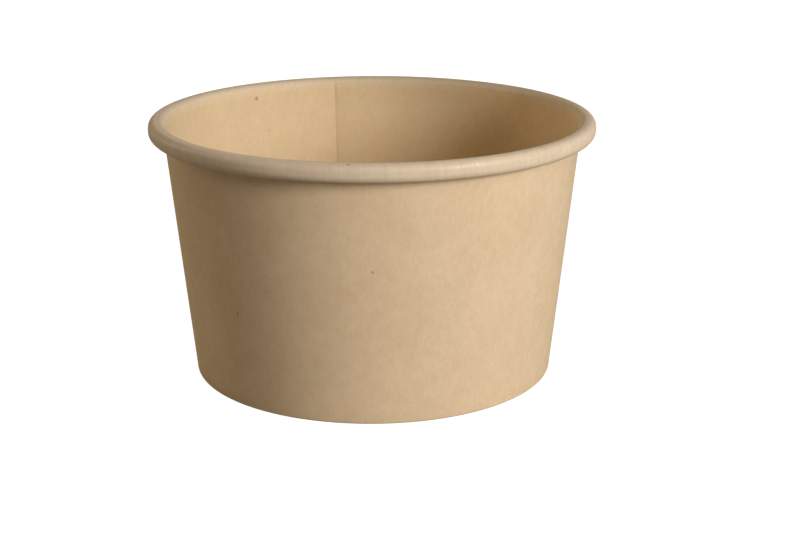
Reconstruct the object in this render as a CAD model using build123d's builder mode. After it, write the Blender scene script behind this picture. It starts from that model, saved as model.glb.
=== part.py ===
from build123d import *
from math import acos, asin, atan2, cos, degrees, hypot, radians, sin, tan
import os

# Squat paper soup cup: a lapped cone of paperboard with a rolled rim, and a bottom disc held in a folded hem.
# Millimetres. The origin is the centre of the standing ring, on the table, and +Z runs up the cup's axis.

# Overall sizes
rim_diameter = 98.0  # outside of the rolled rim, which a lid snaps over
cup_height = 57.0  # from the table to the top of the rim
base_diameter = 80.3  # outside of the standing ring

# Paperboard
wall_sheet = 0.45  # thickness of the side wall blank
bottom_sheet = 0.35  # thickness of the bottom blank
seal_film = 0.04  # coating between two faces that are sealed together

# Rolled rim
curl_width = 3.6  # from the inside of the wall to the outside of the roll
curl_height = 3.9  # from the top to the underside of the roll
curl_corner = 1.6  # bend of the roll at its corners
roll_gap = 0.12  # between the tucked edge of the roll and the wall

# Standing ring and bottom
fold_bend = 0.1  # inner bend of the fold at the table
recess_depth = 9.0  # from the table up to the underside of the bottom disc
bottom_bend = 0.8  # inner bend between the disc and its skirt
hem_clearance = 0.7  # from the top of the hem up to that bend

# Side seam
lap_width = 8.0  # how far one end of the wall blank laps over the other, at half height
seam_azimuth = 103.4  # direction of the seam's inner edge, counted from +X

# Slope of the wall, which is the straight tangent between the fold's outer bend and the roll's first bend
rim_radius = rim_diameter / 2
roll_centre_r = rim_radius - curl_width + curl_corner
roll_centre_z = cup_height - curl_corner
fold_centre_r = base_diameter / 2 - wall_sheet - fold_bend
fold_centre_z = wall_sheet + fold_bend
span_r = roll_centre_r - fold_centre_r
span_z = roll_centre_z - fold_centre_z
taper = atan2(span_r, span_z) - asin((curl_corner + fold_bend) / hypot(span_r, span_z))
taper_degrees = degrees(taper)

# Thicknesses and spaces, measured level instead of square to the sloping wall
skirt_space = bottom_sheet + 2 * seal_film
wall_level = wall_sheet / cos(taper)
film_level = seal_film / cos(taper)
gap_level = roll_gap / cos(taper)
skirt_space_level = skirt_space / cos(taper)


def inside_radius(height):
    return fold_centre_r + fold_bend / cos(taper) + (height - fold_centre_z) * tan(taper)


# Tucked edge of the roll, which turns up beside the wall
under_z = cup_height - curl_height
under_r = rim_radius - curl_corner
tuck_room = under_r - inside_radius(under_z) - wall_level - gap_level
tuck_bend = tuck_room * cos(taper) / (1 + sin(taper))

# Straight stretches of the wall sheet
hem_top = recess_depth - bottom_bend - hem_clearance
fold_flat = skirt_space_level - 2 * fold_bend / cos(taper)
wall_length = (span_z + (curl_corner + fold_bend) * sin(taper)) / cos(taper)
crest_length = rim_radius - curl_corner - roll_centre_r
side_length = curl_height - 2 * curl_corner

# Bottom disc, with its skirt sealed between the wall and the hem
disc_top = recess_depth + bottom_sheet
outer_bend = bottom_bend + bottom_sheet
bend_z = disc_top - outer_bend
bend_r = inside_radius(bend_z) - film_level - outer_bend / cos(taper)
skirt_length = (bend_z - outer_bend * sin(taper) - fold_centre_z - seal_film) / cos(taper)

# Seam: the outer end of the blank leaves the round wall along a straight bridge and lies on the inner end
seam_low = fold_centre_z
seam_high = roll_centre_z
middle_radius = inside_radius((seam_low + seam_high) / 2)
head_radius = inside_radius(seam_high) + wall_level
lap_angle = degrees(lap_width / middle_radius)
bridge_angle = degrees(acos(head_radius / (head_radius + wall_level)))


def around(radius, angle):
    azimuth = radians(seam_azimuth + angle)
    return (radius * cos(azimuth), radius * sin(azimuth))


def seam_section(height):
    inside = inside_radius(height)
    middle = inside + wall_level
    outside = inside + 2 * wall_level
    with BuildSketch(Plane.XY.offset(height)) as section:
        with BuildLine():
            inner_end = ThreePointArc(*[around(inside, share * lap_angle) for share in (1, 0.5, 0)])
            Line(inner_end @ 1, around(middle, 0))
            Line(around(middle, 0), around(inside, -bridge_angle))
            Line(around(inside, -bridge_angle), around(middle, -bridge_angle))
            Line(around(middle, -bridge_angle), around(outside, 0))
            outer_end = ThreePointArc(*[around(outside, share * lap_angle) for share in (0, 0.5, 1)])
            Line(outer_end @ 1, inner_end @ 0)
        make_face()
    return section.sketch


def wall_face(depth):
    hem_foot_z = fold_centre_z + fold_bend * sin(taper)
    square = Vector(cos(taper), -sin(taper)) * -depth
    hem_head = Vector(inside_radius(hem_top) - skirt_space_level, hem_top) + square
    hem_foot = Vector(inside_radius(hem_foot_z) - skirt_space_level, hem_foot_z) + square
    hem = Line(hem_head, hem_foot)
    fold_in = JernArc(hem @ 1, hem % 1, fold_bend + depth, 90 + taper_degrees)
    foot = Line(fold_in @ 1, (fold_in @ 1) + Vector(fold_flat, 0))
    fold_out = JernArc(foot @ 1, foot % 1, fold_bend + depth, 90 - taper_degrees)
    wall = Line(fold_out @ 1, (fold_out @ 1) + (fold_out % 1) * wall_length)
    roll_in = JernArc(wall @ 1, wall % 1, curl_corner - depth, taper_degrees - 90)
    crest = Line(roll_in @ 1, (roll_in @ 1) + Vector(crest_length, 0))
    roll_out = JernArc(crest @ 1, crest % 1, curl_corner - depth, -90)
    side = Line(roll_out @ 1, (roll_out @ 1) - Vector(0, side_length))
    roll_under = JernArc(side @ 1, side % 1, curl_corner - depth, -90)
    tuck = JernArc(roll_under @ 1, roll_under % 1, tuck_bend - depth, -90 - taper_degrees)
    return hem @ 0, tuck @ 1


def bottom_face(depth):
    disc = Line((0, disc_top - depth), (bend_r, disc_top - depth))
    bend = JernArc(disc @ 1, disc % 1, outer_bend - depth, -90 - taper_degrees)
    skirt = Line(bend @ 1, (bend @ 1) + (bend % 1) * skirt_length)
    return disc @ 0, skirt @ 1


with BuildPart() as side_wall:
    # One sheet from the top of the hem, round the fold, up the wall and round the roll
    with BuildSketch(Plane.XZ):
        with BuildLine():
            coated_start, coated_end = wall_face(0)
            plain_start, plain_end = wall_face(wall_sheet)
            Line(coated_start, plain_start)
            Line(coated_end, plain_end)
        make_face()
    revolve(axis=Axis.Z)
    # Lapped side seam, let into the round wall
    seam_plane = Plane((0, 0, 0), x_dir=around(1, -bridge_angle), z_dir=around(1, -bridge_angle - 90))
    with BuildSketch(seam_plane):
        with BuildLine():
            Polyline(
                (inside_radius(seam_low) - film_level, seam_low),
                (inside_radius(seam_low) + wall_level + film_level, seam_low),
                (inside_radius(seam_high) + wall_level + film_level, seam_high),
                (inside_radius(seam_high) - film_level, seam_high),
                close=True,
            )
        make_face()
    revolve(axis=Axis.Z, revolution_arc=lap_angle + bridge_angle, mode=Mode.SUBTRACT)
    loft([seam_section(seam_low), seam_section(seam_high)], ruled=True)

with BuildPart() as bottom_disc:
    # One sheet from the middle of the disc, round the bend and down the skirt
    with BuildSketch(Plane.XZ):
        with BuildLine():
            upper_start, upper_end = bottom_face(0)
            under_start, under_end = bottom_face(bottom_sheet)
            Line(upper_start, under_start)
            Line(upper_end, under_end)
        make_face()
    revolve(axis=Axis.Z)

side_wall.part.label = "side_wall"
bottom_disc.part.label = "bottom_disc"

os.makedirs("parts", exist_ok=True)
export_step(side_wall.part, "parts/side_wall.step")
export_step(bottom_disc.part, "parts/bottom_disc.step")
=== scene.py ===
import bmesh
import bpy
import math
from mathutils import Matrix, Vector


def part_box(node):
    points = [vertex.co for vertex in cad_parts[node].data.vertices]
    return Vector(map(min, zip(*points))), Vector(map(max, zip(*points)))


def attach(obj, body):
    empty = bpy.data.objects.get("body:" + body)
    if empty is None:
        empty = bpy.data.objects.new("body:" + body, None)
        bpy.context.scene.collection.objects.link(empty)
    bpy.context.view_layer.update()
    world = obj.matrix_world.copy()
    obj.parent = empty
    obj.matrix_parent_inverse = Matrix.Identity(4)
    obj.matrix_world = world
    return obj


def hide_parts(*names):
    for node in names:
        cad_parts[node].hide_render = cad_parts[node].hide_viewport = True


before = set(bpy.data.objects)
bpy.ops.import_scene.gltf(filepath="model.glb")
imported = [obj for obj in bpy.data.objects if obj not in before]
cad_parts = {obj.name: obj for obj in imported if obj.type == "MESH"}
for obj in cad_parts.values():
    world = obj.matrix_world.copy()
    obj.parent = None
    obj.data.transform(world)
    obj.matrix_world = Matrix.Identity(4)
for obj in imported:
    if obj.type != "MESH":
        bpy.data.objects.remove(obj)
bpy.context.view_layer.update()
mm = 0.001
sharpAngle = math.radians(45)  # edges sharper than this are cut edges, and aren't smoothed
scene = bpy.context.scene
print("frame loaded:", sorted(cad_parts))


# node and mesh helpers

def addNode(tree, kind, inputs=None, **settings):
    node = tree.nodes.new(kind)
    for name, value in settings.items():
        setattr(node, name, value)
    for place, value in (inputs or {}).items():
        if isinstance(value, bpy.types.NodeSocket):
            tree.links.new(value, node.inputs[place])
        else:
            node.inputs[place].default_value = value
    return node


def compute(tree, operation, *values, clamped=False):
    node = addNode(tree, "ShaderNodeMath", dict(enumerate(values)), operation=operation, use_clamp=clamped)
    return node.outputs[0]


def remap(tree, value, low, high, newLow, newHigh, smooth=False):
    values = {"Value": value, "From Min": low, "From Max": high, "To Min": newLow, "To Max": newHigh}
    shape = "SMOOTHSTEP" if smooth else "LINEAR"
    return addNode(tree, "ShaderNodeMapRange", values, interpolation_type=shape).outputs["Result"]


def blendColour(tree, factor, first, second):
    values = {0: factor, 6: first, 7: second}  # the colour sockets of the Mix node
    return addNode(tree, "ShaderNodeMix", values, data_type="RGBA").outputs[2]


def addGroup(tree, group, values):
    return addNode(tree, "ShaderNodeGroup", values, node_tree=group).outputs


def readAttribute(tree, name):
    return addNode(tree, "ShaderNodeAttribute", attribute_name=name).outputs["Fac"]


def linear(red, green, blue):
    def channel(value):
        value /= 255
        return value / 12.92 if value <= 0.04045 else ((value + 0.055) / 1.055) ** 2.4
    return (channel(red), channel(green), channel(blue), 1.0)


def openTree(name, kind, inputs, outputs):
    tree = bpy.data.node_groups.new(name, kind)
    for label, socket in inputs:
        tree.interface.new_socket(label, in_out="INPUT", socket_type="NodeSocket" + socket)
    for label, socket in outputs:
        tree.interface.new_socket(label, in_out="OUTPUT", socket_type="NodeSocket" + socket)
    return tree, addNode(tree, "NodeGroupInput").outputs


def placePiece(name, data):
    piece = bpy.data.objects.new(name, data)
    scene.collection.objects.link(piece)
    return piece


def applyTree(piece, tree, values):
    modifier = piece.modifiers.new(tree.name, "NODES")
    modifier.node_group = tree
    for item in tree.interface.items_tree:
        if item.in_out == "INPUT" and item.name in values:
            modifier[item.identifier] = values[item.name]
    graph = bpy.context.evaluated_depsgraph_get()
    made = bpy.data.meshes.new_from_object(
        piece.evaluated_get(graph), preserve_all_data_layers=True, depsgraph=graph)
    piece.modifiers.remove(modifier)
    piece.data = made
    made.name = piece.name
    return piece


# board finishes: pale kraft fibres shared by both sides, plain outside, film-coated inside and over the roll

boardFinish = {
    "fibreDensity": 1900.0,  # fibres per metre across the grain
    "fibreStretch": 2.4,  # how much longer than wide a fibre is
    "flockDensity": 420.0,
    "cloudDensity": 90.0,
    "toneShares": (0.4, 0.35, 0.25),  # of fibres, flocks and clouds
    "toneRange": (0.3, 0.7),  # tones that are all dark and all light
    "fibreRelief": 0.6,  # beside 1 for the flocks
    "reliefDepth": 0.08,
    "speckDensity": 80.0,
    "speckReach": (0.01, 0.03),  # share of a cell that is solid, and where it ends
    "speckStrength": 0.45,
    # colour of the real specks and marks, and of the painted shade along the seam
    "speckAndShade": linear(118, 82, 46),
    # painted highlight: colour of the small glints of the key lamp on the roll
    "paintedGlint": linear(255, 240, 222),
    "markReach": (0.3, 1.2),  # share of a mark's radius that is solid, and where it ends
}
rollFinish = {  # places in millimetres along the section, from the top of the straight wall
    "radius": 48.0,  # of the roll, from the cup's axis
    "streakDensity": 1100.0,  # fine creases across the roll, per metre
    "streakStretch": 0.12,  # their density along the section, beside 1 across it
    "streakRelief": 2.5,
    "tintFrom": (-0.4, 1.2),
    # where the painted highlight along the bend at the foot of the roll fades in and out
    "bendHighlightFrom": (-1.3, -0.5),
    "bendHighlightTo": (0.2, 1.6),
    "glossFrom": (1.9, 3.1),
    "glossTo": (4.6, 6.0),
    "lapFade": 0.6,  # how much of the seam's shade is lost on the roll
}
lapShade = {
    "coreDivisor": 3.0,  # line and tone are solid for a third of their width
    "clearance": 0.01,  # nothing nearer than this, or on the other side of the edge, is shaded
}
plainFinish = {
    "dark": linear(215, 186, 149),
    "light": linear(231, 205, 169),
    "roughness": (0.88, 0.78),
    "relief": 0.22,
    "specular": 0.0,  # with more, the white surround shows as pale lines along the rim
    "streaks": 0.0,
    "lapSide": "outsideLap",
    "seamShadowLine": (0.3, 0.8),  # painted shadow: strength and width of a dark line beside the outer edge of the seam, where the step shades the board
    "seamShadeTone": (0.03, 6.0),  # painted shade: strength and width of a wider, slightly darker band beside that line
}
coatedFinish = {
    "dark": linear(216, 187, 146),
    "light": linear(228, 203, 163),
    "roughness": (0.5, 0.4),
    "relief": 0.12,
    "specular": 0.0,  # for the same reason: only the top of the roll shines
    "streaks": 0.35,
    "rollSheenTint": (linear(212, 190, 160), linear(225, 204, 176)),  # greyer and paler on the roll: painted sheen, standing in for the film's reflection of its pale surroundings
    "bendHighlightTint": linear(244, 226, 200),  # painted highlight: a pale line along the bend at the foot of the roll, where it faces up into the light
    "bendHighlightStrength": 0.14,
    "rollGloss": 0.075,  # weight, roughness and refraction of the film's soft shine on top of the roll
    "rollGlossRoughness": 0.42,
    "rollGlossIor": 3.0,
    "lapSide": "insideLap",
    "seamShadowLine": (0.12, 1.0),  # the same painted shadow line beside its inner edge
    # painted shade: a wider darker band beside that line, for the shading of the board's kink at the seam
    "seamShadeTone": (0.06, 12.0),
}
darkMarks = (  # place in millimetres, radius, strength
    ((-28.60, 35.05, 53.69), 0.62, 0.50),
    ((-25.97, 35.99, 45.65), 0.42, 0.14),
    ((21.37, 38.90, 45.68), 0.45, 0.14),
    ((0.61, -43.61, 33.95), 0.40, 0.42),
    ((-27.54, -32.15, 21.53), 0.40, 0.42),
    ((-21.05, -37.47, 27.81), 0.45, 0.18),
    ((-3.81, -47.81, 56.90), 0.42, 0.45),
)
# painted highlights: glints of the key lamp on the film over the roll; place in millimetres, radius, strength
paintedGlints = (
    ((17.35, -45.78, 55.84), 0.40, 0.26),
    ((18.32, -45.36, 55.92), 0.34, 0.18),
    ((21.10, -44.02, 56.15), 0.44, 0.36),
    ((20.20, -44.45, 56.17), 0.36, 0.16),
    ((-37.84, -30.93, 56.02), 0.35, 0.40),
)


def makeFibreGroup():
    inputs = (("Vector", "Vector"), ("Density", "Float"), ("Stretch", "Float"), ("Speck Density", "Float"))
    outputs = (("Tone", "Float"), ("Specks", "Float"), ("Height", "Float"))
    tree, given = openTree("boardFibres", "ShaderNodeTree", inputs, outputs)
    lengthwise = compute(tree, "DIVIDE", given["Density"], given["Stretch"])
    grain = addNode(tree, "ShaderNodeCombineXYZ", {0: given["Density"], 1: given["Density"], 2: lengthwise}).outputs[0]
    stretched = addNode(
        tree, "ShaderNodeVectorMath", {0: given["Vector"], 1: grain}, operation="MULTIPLY").outputs[0]
    fibre = addNode(
        tree, "ShaderNodeTexNoise",
        {"Vector": stretched, "Scale": 1.0, "Detail": 3.0, "Roughness": 0.55, "Distortion": 0.8}).outputs[0]
    flocks = addNode(
        tree, "ShaderNodeTexNoise",
        {"Vector": given["Vector"], "Scale": boardFinish["flockDensity"], "Detail": 3.0, "Roughness": 0.55}).outputs[0]
    clouds = addNode(
        tree, "ShaderNodeTexNoise",
        {"Vector": given["Vector"], "Scale": boardFinish["cloudDensity"], "Detail": 2.0, "Roughness": 0.5}).outputs[0]
    fibreShare, flockShare, cloudShare = boardFinish["toneShares"]
    fine = compute(tree, "MULTIPLY_ADD", fibre, fibreShare, compute(tree, "MULTIPLY", flocks, flockShare))
    tone = compute(tree, "MULTIPLY_ADD", clouds, cloudShare, fine)
    cells = addNode(
        tree, "ShaderNodeTexVoronoi", {"Vector": given["Vector"], "Scale": given["Speck Density"]}, feature="F1")
    strength = addNode(tree, "ShaderNodeSeparateColor", {0: cells.outputs["Color"]}).outputs[0]
    spot = remap(tree, cells.outputs["Distance"], *boardFinish["speckReach"], 1.0, 0.0, smooth=True)
    specks = compute(tree, "MULTIPLY", spot, strength)
    height = compute(tree, "MULTIPLY_ADD", fibre, boardFinish["fibreRelief"], flocks)
    addNode(tree, "NodeGroupOutput", {"Tone": tone, "Specks": specks, "Height": height})
    return tree


def makeMarkGroup(name, marks):
    tree, given = openTree(name, "ShaderNodeTree", (("Vector", "Vector"),), (("Marks", "Float"),))
    solid, end = boardFinish["markReach"]
    total = None
    for place, radius, strength in marks:
        values = {0: given["Vector"], 1: tuple(value * mm for value in place)}
        away = addNode(tree, "ShaderNodeVectorMath", values, operation="DISTANCE").outputs["Value"]
        spot = remap(tree, away, radius * solid * mm, radius * end * mm, strength, 0.0, smooth=True)
        total = spot if total is None else compute(tree, "MAXIMUM", total, spot)
    addNode(tree, "NodeGroupOutput", {"Marks": total})
    return tree


def makeStreakGroup():
    inputs = (("Turn", "Float"), ("Along", "Float"), ("Density", "Float"), ("Radius", "Float"))
    outputs = (("Streaks", "Float"), ("Roll", "Float"), ("Stretch", "Float"), ("Gloss", "Float"))
    tree, given = openTree("rollStreaks", "ShaderNodeTree", inputs, outputs)
    across = compute(tree, "MULTIPLY", compute(tree, "MULTIPLY", given["Turn"], given["Radius"]), given["Density"])
    lengthwise = compute(tree, "MULTIPLY", given["Along"], given["Density"])
    lengthwise = compute(tree, "MULTIPLY", lengthwise, rollFinish["streakStretch"])
    place = addNode(tree, "ShaderNodeCombineXYZ", {0: across, 1: lengthwise}).outputs[0]
    noise = addNode(
        tree, "ShaderNodeTexNoise", {"Vector": place, "Scale": 1.0, "Detail": 2.0, "Roughness": 0.5},
        noise_dimensions="2D").outputs[0]

    def fade(name, first, last):
        low, high = rollFinish[name]
        return remap(tree, given["Along"], low * mm, high * mm, first, last, smooth=True)

    roll = fade("tintFrom", 0.0, 1.0)
    # painted highlight band along the bend at the foot of the roll, given out as Stretch
    highlightBand = compute(tree, "MULTIPLY", fade("bendHighlightFrom", 0.0, 1.0), fade("bendHighlightTo", 1.0, 0.0))
    gloss = compute(tree, "MULTIPLY", fade("glossFrom", 0.0, 1.0), fade("glossTo", 1.0, 0.0))
    addNode(tree, "NodeGroupOutput", {"Streaks": noise, "Roll": roll, "Stretch": highlightBand, "Gloss": gloss})
    return tree


# painted shade beside the seam: a dark contact-shadow line and a wider darker band
def makeLapGroup():
    inputs = (
        ("Distance", "Float"), ("Line", "Float"), ("Line Width", "Float"), ("Tone", "Float"), ("Tone Width", "Float"))
    tree, given = openTree("lapShade", "ShaderNodeTree", inputs, (("Shade", "Float"),))
    total = None
    for strength, width in (("Line", "Line Width"), ("Tone", "Tone Width")):
        core = compute(tree, "DIVIDE", given[width], lapShade["coreDivisor"])
        near = remap(tree, given["Distance"], core, given[width], given[strength], 0.0, smooth=True)
        total = near if total is None else compute(tree, "ADD", total, near)
    beside = compute(tree, "GREATER_THAN", given["Distance"], lapShade["clearance"] * mm)
    addNode(tree, "NodeGroupOutput", {"Shade": compute(tree, "MULTIPLY", total, beside)})
    return tree


fibreGroup = makeFibreGroup()
lapGroup = makeLapGroup()
darkGroup = makeMarkGroup("darkMarks", darkMarks)
paintedGlintGroup = makeMarkGroup("paintedGlints", paintedGlints)
streakGroup = makeStreakGroup()


def makeBoard(name, finish):
    material = bpy.data.materials.new(name)
    material.use_nodes = True
    tree = material.node_tree
    shader = tree.nodes["Principled BSDF"]
    shader.inputs["Specular IOR Level"].default_value = finish["specular"]
    place = addNode(tree, "ShaderNodeTexCoord").outputs["Object"]
    fibres = addGroup(tree, fibreGroup, {
        "Vector": place,
        "Density": boardFinish["fibreDensity"],
        "Stretch": boardFinish["fibreStretch"],
        "Speck Density": boardFinish["speckDensity"],
    })
    marks = addGroup(tree, darkGroup, {"Vector": place})["Marks"]
    shade = addGroup(tree, lapGroup, {
        "Distance": readAttribute(tree, finish["lapSide"]),
        "Line": finish["seamShadowLine"][0],
        "Line Width": finish["seamShadowLine"][1] * mm,
        "Tone": finish["seamShadeTone"][0],
        "Tone Width": finish["seamShadeTone"][1] * mm,
    })["Shade"]
    tone, height = fibres["Tone"], fibres["Height"]
    if finish["streaks"]:
        streaks = addGroup(tree, streakGroup, {
            "Turn": readAttribute(tree, "turn"),
            "Along": readAttribute(tree, "along"),
            "Density": rollFinish["streakDensity"],
            "Radius": rollFinish["radius"] * mm,
        })
        roll = streaks["Roll"]
        crease = compute(tree, "MULTIPLY", compute(tree, "SUBTRACT", streaks["Streaks"], 0.5), roll)
        crease = compute(tree, "MULTIPLY", crease, finish["streaks"])
        tone = compute(tree, "ADD", tone, crease)
        height = compute(tree, "MULTIPLY_ADD", crease, rollFinish["streakRelief"], height)
    share = remap(tree, tone, *boardFinish["toneRange"], 0.0, 1.0)
    colour = blendColour(tree, share, finish["dark"], finish["light"])
    if finish["streaks"]:
        # painted sheen: the roll's colour made greyer and paler
        colour = blendColour(tree, roll, colour, blendColour(tree, share, *finish["rollSheenTint"]))
        # painted highlight along the bend at the foot of the roll
        stretched = compute(tree, "MULTIPLY", streaks["Stretch"], finish["bendHighlightStrength"])
        colour = blendColour(tree, stretched, colour, finish["bendHighlightTint"])
        # painted glints of light on the roll
        light = addGroup(tree, paintedGlintGroup, {"Vector": place})["Marks"]
        colour = blendColour(tree, light, colour, boardFinish["paintedGlint"])
        shade = compute(tree, "MULTIPLY", shade, compute(tree, "MULTIPLY_ADD", roll, -rollFinish["lapFade"], 1.0))
        gloss = compute(tree, "MULTIPLY", streaks["Gloss"], finish["rollGloss"])
        tree.links.new(gloss, shader.inputs["Coat Weight"])
        shader.inputs["Coat Roughness"].default_value = finish["rollGlossRoughness"]
        shader.inputs["Coat IOR"].default_value = finish["rollGlossIor"]
    specks = compute(tree, "MULTIPLY_ADD", fibres["Specks"], boardFinish["speckStrength"], marks, clamped=True)
    # the seam's painted shade darkens the colour towards the speck colour, together with the real specks and marks
    specks = compute(tree, "ADD", specks, shade, clamped=True)
    colour = blendColour(tree, specks, colour, boardFinish["speckAndShade"])
    tree.links.new(colour, shader.inputs["Base Color"])
    roughness = remap(tree, tone, *boardFinish["toneRange"], *finish["roughness"])
    tree.links.new(roughness, shader.inputs["Roughness"])
    bump = addNode(tree, "ShaderNodeBump", {
        "Strength": finish["relief"], "Distance": boardFinish["reliefDepth"] * mm, "Height": height})
    tree.links.new(bump.outputs[0], shader.inputs["Normal"])
    return material


plainBoard = makeBoard("plainBoard", plainFinish)
coatedBoard = makeBoard("coatedBoard", coatedFinish)
print("board finishes made")


# section of a folded sheet: each point has its place, the direction of its plain side and the length so far

def walkSheet(start, heading, moves):
    place = Vector(start)
    along = 0.0
    points = []

    def mark():
        angle = math.radians(heading)
        points.append((place.copy(), Vector((math.sin(angle), -math.cos(angle))), along))

    mark()
    for kind, size, turn, steps in moves:
        for step in range(steps):
            if kind == "run":
                angle = math.radians(heading)
                place += Vector((math.cos(angle), math.sin(angle))) * (size / steps)
                along += size / steps
            else:
                chord = 2 * size * math.sin(math.radians(abs(turn)) / steps / 2)
                angle = math.radians(heading + turn / steps / 2)
                place += Vector((math.cos(angle), math.sin(angle))) * chord
                heading += turn / steps
                along += size * math.radians(abs(turn)) / steps
            mark()
    return points


wallLow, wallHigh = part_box("side_wall")
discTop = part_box("bottom_disc")[1].z / mm
cupWall = {
    "rimRadius": (wallHigh.x - wallLow.x) / 2 / mm,
    "height": wallHigh.z / mm,
    "baseRadius": 40.15,
    "board": 0.45,  # thickness of the blank
    "curlWidth": 3.6,
    "curlHeight": 3.9,
    "curlCorner": 1.6,
    "tuckGap": 0.12,  # between the tucked edge of the roll and the wall
    "foldBend": 0.1,
    "hemTop": 7.5,
    "skirtSpace": 0.43,  # room for the bottom's skirt between wall and hem
    "lapWidth": 8.0,
    "seamAzimuth": 102.9,  # inner edge of the seam, from +X
    "bridge": 5.5,  # degrees over which the outer end climbs on to the inner end
    "film": 0.02,
    "foldPress": 4.0,  # the lap is pressed flat towards the fold and the roll, over these lengths
    "rollPress": 5.0,
    "stepsAround": 420,
}
cupBottom = {
    "discTop": discTop,
    "board": 0.35,
    "bend": 1.15,  # outer bend between disc and skirt
    "film": 0.04,
    "stepsAround": 256,
}


def wallSlope(size):
    spanR = (size["rimRadius"] - size["curlWidth"]) - (size["baseRadius"] - size["board"] - size["foldBend"])
    spanR += size["curlCorner"]
    spanZ = size["height"] - size["curlCorner"] - size["board"] - size["foldBend"]
    bends = size["curlCorner"] + size["foldBend"]
    return math.atan2(spanR, spanZ) - math.asin(bends / math.hypot(spanR, spanZ)), spanZ


taper, wallRise = wallSlope(cupWall)
slope = math.degrees(taper)
foldHeight = cupWall["board"] + cupWall["foldBend"]


def insideRadius(height):
    foldRadius = cupWall["baseRadius"] - foldHeight
    return foldRadius + cupWall["foldBend"] / math.cos(taper) + (height - foldHeight) * math.tan(taper)


def wallSection(size):
    corner, bend = size["curlCorner"], size["foldBend"]
    level = 1 / math.cos(taper)
    underZ = size["height"] - size["curlHeight"]
    room = size["rimRadius"] - corner - insideRadius(underZ) - (size["board"] + size["tuckGap"]) * level
    tuck = room * math.cos(taper) / (1 + math.sin(taper))
    hemFoot = foldHeight + bend * math.sin(taper)
    crest = size["curlWidth"] - 2 * corner
    moves = (  # kind, length or bend, turn and rows
        ("run", (size["hemTop"] - hemFoot) * level, 0, 5),
        ("bend", bend, 90 + slope, 6),
        ("run", (size["skirtSpace"] - 2 * bend) * level, 0, 1),
        ("bend", bend, 90 - slope, 6),
        ("run", (wallRise + (corner + bend) * math.sin(taper)) * level, 0, 26),
        ("bend", corner, slope - 90, 11),
        ("run", crest, 0, 1),
        ("bend", corner, -90, 11),
        ("run", size["curlHeight"] - 2 * corner, 0, 1),
        ("bend", corner, -90, 10),
        ("bend", tuck, -90 - slope, 9),
    )
    start = (insideRadius(size["hemTop"]) - size["skirtSpace"] * level, size["hemTop"])
    wallEnd = walkSheet(start, -90 - slope, moves[:5])[-1][2]
    return walkSheet(start, -90 - slope, moves), wallEnd


# lapped blank: a thin sheet as wide as the section and long enough to go round the cup and lap over its own start

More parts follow.
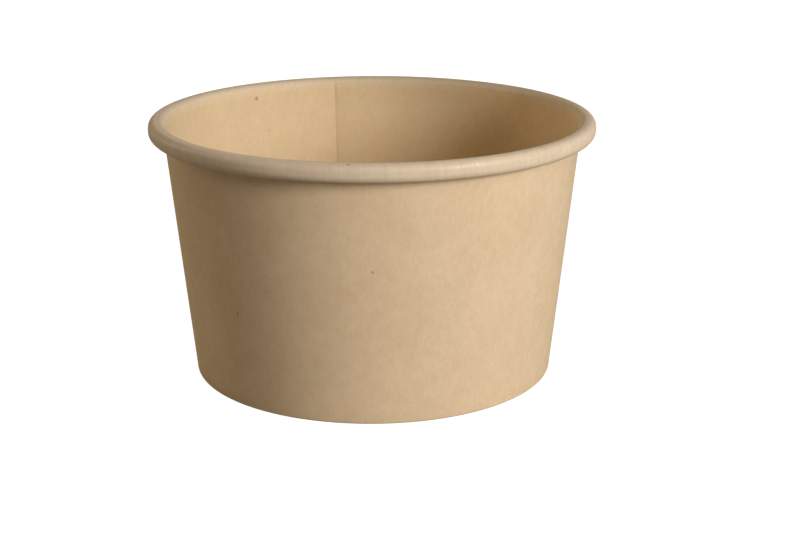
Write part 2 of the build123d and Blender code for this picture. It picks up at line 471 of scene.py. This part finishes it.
def makeLapTree():
    inputs = (
        ("Section", "Geometry"), ("Thickness", "Float"), ("Film", "Float"), ("Seam Azimuth", "Float"),
        ("Lap Angle", "Float"), ("Bridge Angle", "Float"), ("Steps Around", "Int"),
        ("Coated Side", "Material"), ("Plain Side", "Material"),
    )
    tree, given = openTree("lappedBlank", "GeometryNodeTree", inputs, (("Blank", "Geometry"),))
    count = addNode(
        tree, "GeometryNodeAttributeDomainSize", {"Geometry": given["Section"]}).outputs["Point Count"]
    sheet = addNode(
        tree, "GeometryNodeMeshCube",
        {"Size": (1, 1, 1), "Vertices X": given["Steps Around"], "Vertices Y": count, "Vertices Z": 2}).outputs["Mesh"]
    corner = addNode(tree, "GeometryNodeInputPosition").outputs[0]
    share = addNode(tree, "ShaderNodeSeparateXYZ", {0: corner}).outputs
    last = compute(tree, "SUBTRACT", count, 1.0)
    row = compute(tree, "ROUND", compute(tree, "MULTIPLY", compute(tree, "ADD", share["Y"], 0.5), last))
    depthShare = compute(tree, "ADD", share["Z"], 0.5)

    def sectionValue(name, kind):
        field = addNode(tree, "GeometryNodeInputNamedAttribute", {"Name": name}, data_type=kind).outputs[0]
        values = {"Geometry": given["Section"], "Value": field, "Index": row}
        return addNode(tree, "GeometryNodeSampleIndex", values, data_type=kind, domain="POINT").outputs[0]

    sweep = compute(tree, "ADD", given["Lap Angle"], 2 * math.pi)
    turn = compute(tree, "MULTIPLY", compute(tree, "ADD", share["X"], 0.5), sweep)
    start = compute(tree, "SUBTRACT", 2 * math.pi, given["Bridge Angle"])
    climb = compute(tree, "DIVIDE", compute(tree, "SUBTRACT", turn, start), given["Bridge Angle"], clamped=True)
    ease = compute(tree, "MULTIPLY", climb, climb)
    step = compute(tree, "MULTIPLY_ADD", given["Thickness"], sectionValue("lapShare", "FLOAT"), given["Film"])
    depth = compute(tree, "MULTIPLY_ADD", ease, step, compute(tree, "MULTIPLY", depthShare, given["Thickness"]))
    offset = addNode(
        tree, "ShaderNodeVectorMath", {0: sectionValue("plainSide", "FLOAT_VECTOR"), "Scale": depth},
        operation="SCALE").outputs[0]
    place = addNode(
        tree, "ShaderNodeVectorMath", {0: sectionValue("position", "FLOAT_VECTOR"), 1: offset},
        operation="ADD").outputs[0]
    flat = addNode(tree, "ShaderNodeSeparateXYZ", {0: place}).outputs
    azimuth = compute(tree, "ADD", turn, given["Seam Azimuth"])
    x = compute(tree, "MULTIPLY", flat["X"], compute(tree, "COSINE", azimuth))
    y = compute(tree, "MULTIPLY", flat["X"], compute(tree, "SINE", azimuth))
    rolled = addNode(tree, "ShaderNodeCombineXYZ", {0: x, 1: y, 2: flat["Z"]}).outputs[0]
    inner = compute(tree, "MULTIPLY", compute(tree, "SUBTRACT", 2 * math.pi, turn), flat["X"])
    outer = compute(tree, "MULTIPLY", compute(tree, "SUBTRACT", turn, given["Lap Angle"]), flat["X"])
    for name, value, domain in (
        ("turn", turn, "POINT"), ("along", sectionValue("along", "FLOAT"), "POINT"),
        ("depthShare", depthShare, "FACE"), ("insideLap", inner, "POINT"), ("outsideLap", outer, "POINT"),
    ):
        sheet = addNode(
            tree, "GeometryNodeStoreNamedAttribute", {"Geometry": sheet, "Name": name, "Value": value},
            data_type="FLOAT", domain=domain).outputs[0]
    sheet = addNode(tree, "GeometryNodeSetPosition", {"Geometry": sheet, "Position": rolled}).outputs[0]
    sheet = addNode(
        tree, "GeometryNodeSetShadeSmooth", {"Geometry": sheet, "Shade Smooth": True}, domain="FACE").outputs[0]
    angle = addNode(tree, "GeometryNodeInputMeshEdgeAngle").outputs["Unsigned Angle"]
    cutEdge = addNode(
        tree, "FunctionNodeCompare", {0: angle, 1: sharpAngle}, data_type="FLOAT", operation="GREATER_THAN")
    sheet = addNode(
        tree, "GeometryNodeSetShadeSmooth",
        {"Geometry": sheet, "Selection": cutEdge.outputs[0], "Shade Smooth": False}, domain="EDGE").outputs[0]
    side = addNode(tree, "GeometryNodeInputNamedAttribute", {"Name": "depthShare"}, data_type="FLOAT").outputs[0]
    coated = addNode(  # faces of the coated side are at 0, of the plain side at 1, and cut edges between
        tree, "FunctionNodeCompare", {0: side, 1: 0.25}, data_type="FLOAT", operation="LESS_THAN").outputs[0]
    sheet = addNode(tree, "GeometryNodeRealizeInstances", {"Geometry": sheet}).outputs[0]
    sheet = addNode(tree, "GeometryNodeSetMaterial", {"Geometry": sheet, "Material": given["Plain Side"]}).outputs[0]
    sheet = addNode(
        tree, "GeometryNodeSetMaterial",
        {"Geometry": sheet, "Selection": coated, "Material": given["Coated Side"]}).outputs[0]
    addNode(tree, "NodeGroupOutput", {"Blank": sheet})
    return tree


def sectionMesh(name, points, wallEnd):
    mesh = bpy.data.meshes.new(name)
    mesh.from_pydata(
        [(place.x * mm, 0, place.y * mm) for place, side, along in points],
        [(number, number + 1) for number in range(len(points) - 1)], [])
    for label, kind in (("plainSide", "FLOAT_VECTOR"), ("along", "FLOAT"), ("lapShare", "FLOAT")):
        mesh.attributes.new(label, kind, "POINT")
    for number, (place, side, along) in enumerate(points):
        share = min((place.y - foldHeight) / cupWall["foldPress"], (wallEnd - along) / cupWall["rollPress"], 1)
        share = max(share, 0)
        mesh.attributes["plainSide"].data[number].vector = (side.x, 0, side.y)
        mesh.attributes["along"].data[number].value = (along - wallEnd) * mm
        mesh.attributes["lapShare"].data[number].value = share * share * (3 - 2 * share)
    return mesh


lapTree = makeLapTree()
wallPiece = placePiece("cupWall", sectionMesh("wallSection", *wallSection(cupWall)))
middleRadius = insideRadius((foldHeight + cupWall["height"] - cupWall["curlCorner"]) / 2)
applyTree(wallPiece, lapTree, {
    "Thickness": cupWall["board"] * mm,
    "Film": cupWall["film"] * mm,
    "Seam Azimuth": math.radians(cupWall["seamAzimuth"]),
    "Lap Angle": cupWall["lapWidth"] / middleRadius,
    "Bridge Angle": math.radians(cupWall["bridge"]),
    "Steps Around": cupWall["stepsAround"],
    "Coated Side": coatedBoard,
    "Plain Side": plainBoard,
})
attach(wallPiece, "root")
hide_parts("side_wall")
print("side wall rolled:", len(wallPiece.data.polygons), "faces")


# bottom disc: a closed outline turned about the axis, with one point at each pole

def spinOutline(name, outline, stepsAround, coatedRows):
    form = bmesh.new()
    rings = []
    for radius, height in outline:
        if radius < 1e-6:
            rings.append([form.verts.new((0, 0, height * mm))])
            continue
        ring = []
        for step in range(stepsAround):
            angle = 2 * math.pi * step / stepsAround
            ring.append(form.verts.new((radius * mm * math.cos(angle), radius * mm * math.sin(angle), height * mm)))
        rings.append(ring)
    for row in range(len(rings) - 1):
        upper, lower = rings[row], rings[row + 1]
        for step in range(stepsAround):
            after = (step + 1) % stepsAround
            if len(upper) == 1:
                corners = (upper[0], lower[step], lower[after])
            elif len(lower) == 1:
                corners = (upper[step], lower[0], upper[after])
            else:
                corners = (upper[step], lower[step], lower[after], upper[after])
            face = form.faces.new(corners)
            face.smooth = True
            face.material_index = 0 if row < coatedRows else 1
    bmesh.ops.recalc_face_normals(form, faces=form.faces)
    for edge in form.edges:
        edge.smooth = edge.calc_face_angle(0) < sharpAngle
    mesh = bpy.data.meshes.new(name)
    form.to_mesh(mesh)
    form.free()
    return mesh


def bottomOutline(size):
    bendHeight = size["discTop"] - size["bend"]
    flat = insideRadius(bendHeight) - (size["film"] + size["bend"]) / math.cos(taper)
    skirt = (bendHeight - size["bend"] * math.sin(taper) - foldHeight - size["film"]) / math.cos(taper)
    points = walkSheet((0, size["discTop"]), 0, (
        ("run", flat, 0, 6), ("bend", size["bend"], -90 - slope, 10), ("run", skirt, 0, 3)))
    upper = [(place.x, place.y) for place, side, along in points]
    under = [(place.x + side.x * size["board"], place.y + side.y * size["board"]) for place, side, along in points]
    return upper + under[::-1], len(upper) - 1


outline, upperRows = bottomOutline(cupBottom)
bottomMesh = spinOutline("cupBottom", outline, cupBottom["stepsAround"], upperRows)
bottomMesh.materials.append(coatedBoard)
bottomMesh.materials.append(plainBoard)
bottomPiece = placePiece("cupBottom", bottomMesh)
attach(bottomPiece, "root")
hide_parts("bottom_disc")
print("bottom disc turned:", len(bottomMesh.polygons), "faces")


# pressed ribs that lock the hem to the skirt, all round the recess under the cup

hemRibs = {
    "count": 90,
    "low": 1.5,
    "high": 6.3,
    "width": 1.5,
    "endWidth": 0.5,  # share of the width at the ends
    "proud": 0.45,
    "sunk": 0.03,  # depth of the flat back in the hem
}


def makeRibTree():
    inputs = (("Rib", "Geometry"), ("Count", "Int"), ("Board", "Material"))
    tree, given = openTree("hemRibs", "GeometryNodeTree", inputs, (("Ribs", "Geometry"),))
    spots = addNode(tree, "GeometryNodePoints", {"Count": given["Count"]}).outputs[0]
    pitch = compute(tree, "DIVIDE", 2 * math.pi, given["Count"])
    angle = compute(tree, "MULTIPLY", addNode(tree, "GeometryNodeInputIndex").outputs[0], pitch)
    turned = addNode(tree, "ShaderNodeCombineXYZ", {2: angle}).outputs[0]
    turned = addNode(tree, "FunctionNodeEulerToRotation", {0: turned}).outputs[0]
    ring = addNode(
        tree, "GeometryNodeInstanceOnPoints",
        {"Points": spots, "Instance": given["Rib"], "Rotation": turned}).outputs[0]
    ring = addNode(tree, "GeometryNodeRealizeInstances", {"Geometry": ring}).outputs[0]
    ring = addNode(tree, "GeometryNodeSetMaterial", {"Geometry": ring, "Material": given["Board"]}).outputs[0]
    addNode(tree, "NodeGroupOutput", {"Ribs": ring})
    return tree


def ribMesh(size):
    form = bmesh.new()
    rows = []
    shareAlong = ((0.0, 0.0), (0.08, 0.75), (0.2, 1.0), (0.8, 1.0), (0.92, 0.75), (1.0, 0.0))
    shareAcross = ((-1.0, 0.0), (-0.5, 0.72), (0.0, 1.0), (0.5, 0.72), (1.0, 0.0))
    for along, swell in shareAlong:
        height = size["low"] + along * (size["high"] - size["low"])
        face = insideRadius(height) - (cupWall["skirtSpace"] + cupWall["board"]) / math.cos(taper)
        halfWidth = size["width"] / 2 * (size["endWidth"] + (1 - size["endWidth"]) * swell)
        rows.append([])
        for across, crown in shareAcross:
            radius = face + size["sunk"] - (size["proud"] + size["sunk"]) * swell * crown
            rows[-1].append(form.verts.new((radius * mm, across * halfWidth * mm, height * mm)))
    for lower, upper in zip(rows, rows[1:]):
        for step in range(len(lower) - 1):
            form.faces.new((lower[step], upper[step], upper[step + 1], lower[step + 1])).smooth = True
    rightSide = [row[-1] for row in rows[1:-1]]
    leftSide = [row[0] for row in rows[-2:0:-1]]
    form.faces.new(rows[0] + rightSide + rows[-1][::-1] + leftSide)  # flat back, sunk in the hem
    mesh = bpy.data.meshes.new("hemRib")
    form.to_mesh(mesh)
    form.free()
    return mesh


ribPiece = placePiece("hemRibs", ribMesh(hemRibs))
applyTree(ribPiece, makeRibTree(), {"Count": hemRibs["count"], "Board": plainBoard})
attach(ribPiece, "root")
print("hem ribs set:", len(ribPiece.data.polygons), "faces")


# floor, light and camera

studio = {
    "lamps": (  # azimuth from the camera's side towards the right, height, strength, colour
        ("key", 48.0, 20.0, 0.865, (0.945, 0.96, 1.0)),
        ("edge", -115.0, 16.0, 0.29, (1.0, 0.87, 0.70)),
        ("front", 15.0, 40.0, 0.145, (1.0, 0.86, 0.62)),
        ("back", -175.0, 25.0, 0.19, (1.0, 0.95, 0.88)),
    ),
    "lampSize": 0.4,
    "lampDistance": 1.0,
    "aimHeight": 30.0,
    "cardReach": 0.12,  # dark card between the key and the cup's far right, from the cup towards the key
    "cardEdge": 0.046,  # its edge, to the right of the middle of the key's beam
    "cardSize": (0.06, 0.12),
    "cardShade": (0.02, 0.02, 0.02, 1.0),
    "cardRoughness": 0.9,
    "fillStrength": 0.045,
    "fillColour": (1.0, 0.90, 0.72, 1.0),
    "floorSize": 6.0,
    "floorDrop": 0.03,  # just under the cup, so that no faces coincide
    "floorShade": (0.40, 0.38, 0.35, 1.0),
    "floorLift": (0.94, 1.0),  # beside the cup, and out of the lamps' reach
    "floorReach": (0.15, 0.6),
}
view = {
    "place": (0.00606, -0.34772, 0.12754),
    "target": (0.00606, 0.0, 0.02136),
    "lens": 72.21,
    "sensor": 36.0,
    "clipStart": 0.01,
}


def seenDirectly(tree):
    path = addNode(tree, "ShaderNodeLightPath").outputs
    seen = compute(tree, "MAXIMUM", path["Is Camera Ray"], path["Is Glossy Ray"])
    return compute(tree, "MAXIMUM", seen, path["Is Transmission Ray"])


floorMaterial = bpy.data.materials.new("paleFloor")
floorMaterial.use_nodes = True
floorTree = floorMaterial.node_tree
floorTree.nodes.clear()
matte = addNode(floorTree, "ShaderNodeBsdfDiffuse", {"Color": studio["floorShade"]}).outputs[0]
spot = addNode(floorTree, "ShaderNodeTexCoord").outputs["Object"]
away = addNode(floorTree, "ShaderNodeVectorMath", {0: spot}, operation="LENGTH").outputs["Value"]
lift = remap(floorTree, away, *studio["floorReach"], *studio["floorLift"], smooth=True)
glow = addNode(floorTree, "ShaderNodeEmission", {"Color": (1, 1, 1, 1), "Strength": lift}).outputs[0]
lifted = addNode(floorTree, "ShaderNodeAddShader", {0: matte, 1: glow}).outputs[0]
surface = addNode(floorTree, "ShaderNodeMixShader", {0: seenDirectly(floorTree), 1: matte, 2: lifted}).outputs[0]
addNode(floorTree, "ShaderNodeOutputMaterial", {"Surface": surface})

half = studio["floorSize"] / 2
floorMesh = bpy.data.meshes.new("floor")
floorMesh.from_pydata(
    [(x * half, y * half, -studio["floorDrop"] * mm) for x, y in ((-1, -1), (1, -1), (1, 1), (-1, 1))],
    [], [(0, 1, 2, 3)])
floorMesh.materials.append(floorMaterial)
placePiece("floor", floorMesh)

world = bpy.data.worlds.new("studio")
scene.world = world
world.use_nodes = True
worldTree = world.node_tree
worldTree.nodes.clear()
fill = addNode(
    worldTree, "ShaderNodeBackground",
    {"Color": studio["fillColour"], "Strength": studio["fillStrength"]}).outputs[0]
white = addNode(worldTree, "ShaderNodeBackground", {"Color": (1, 1, 1, 1), "Strength": 1.0}).outputs[0]
shown = addNode(worldTree, "ShaderNodeMixShader", {0: seenDirectly(worldTree), 1: fill, 2: white}).outputs[0]
addNode(worldTree, "ShaderNodeOutputWorld", {"Surface": shown})

aim = Vector((0, 0, studio["aimHeight"] * mm))


def placeCard(towards, turn):
    material = bpy.data.materials.new("darkCard")
    material.use_nodes = True
    shader = material.node_tree.nodes["Principled BSDF"]
    shader.inputs["Base Color"].default_value = studio["cardShade"]
    shader.inputs["Roughness"].default_value = studio["cardRoughness"]
    across = Vector((math.cos(turn), math.sin(turn), 0))
    upright = towards.cross(across)
    width, tall = studio["cardSize"]
    edge = aim + towards * studio["cardReach"] + across * studio["cardEdge"]
    corners = [
        edge + across * width * right + upright * tall * (top - 0.5)
        for right, top in ((0, 0), (1, 0), (1, 1), (0, 1))]
    mesh = bpy.data.meshes.new("darkCard")
    mesh.from_pydata(corners, [], [(0, 1, 2, 3)])
    mesh.materials.append(material)
    card = placePiece("darkCard", mesh)
    card.visible_camera = False


for name, azimuth, height, strength, colour in studio["lamps"]:
    light = bpy.data.lights.new(name, "AREA")
    light.shape = "DISK"
    light.size = studio["lampSize"]
    # at strength 1 a board that faces the lamp shows its own colour
    light.energy = strength * math.pi ** 2 * studio["lampDistance"] ** 2
    light.color = colour
    turn, rise = math.radians(azimuth), math.radians(height)
    towards = Vector((math.sin(turn) * math.cos(rise), -math.cos(turn) * math.cos(rise), math.sin(rise)))
    lamp = placePiece(name, light)
    lamp.location = aim + towards * studio["lampDistance"]
    lamp.rotation_euler = towards.to_track_quat("Z", "Y").to_euler()
    lamp.visible_camera = False
    if name == "key":
        placeCard(towards, turn)

cameraData = bpy.data.cameras.new("camera")
cameraData.lens = view["lens"]
cameraData.sensor_width = view["sensor"]
cameraData.clip_start = view["clipStart"]
camera = placePiece("camera", cameraData)
camera.location = view["place"]
sight = Vector(view["target"]) - Vector(view["place"])
camera.rotation_euler = sight.to_track_quat("-Z", "Y").to_euler()
scene.camera = camera
scene.view_settings.view_transform = "Standard"
print("studio set")
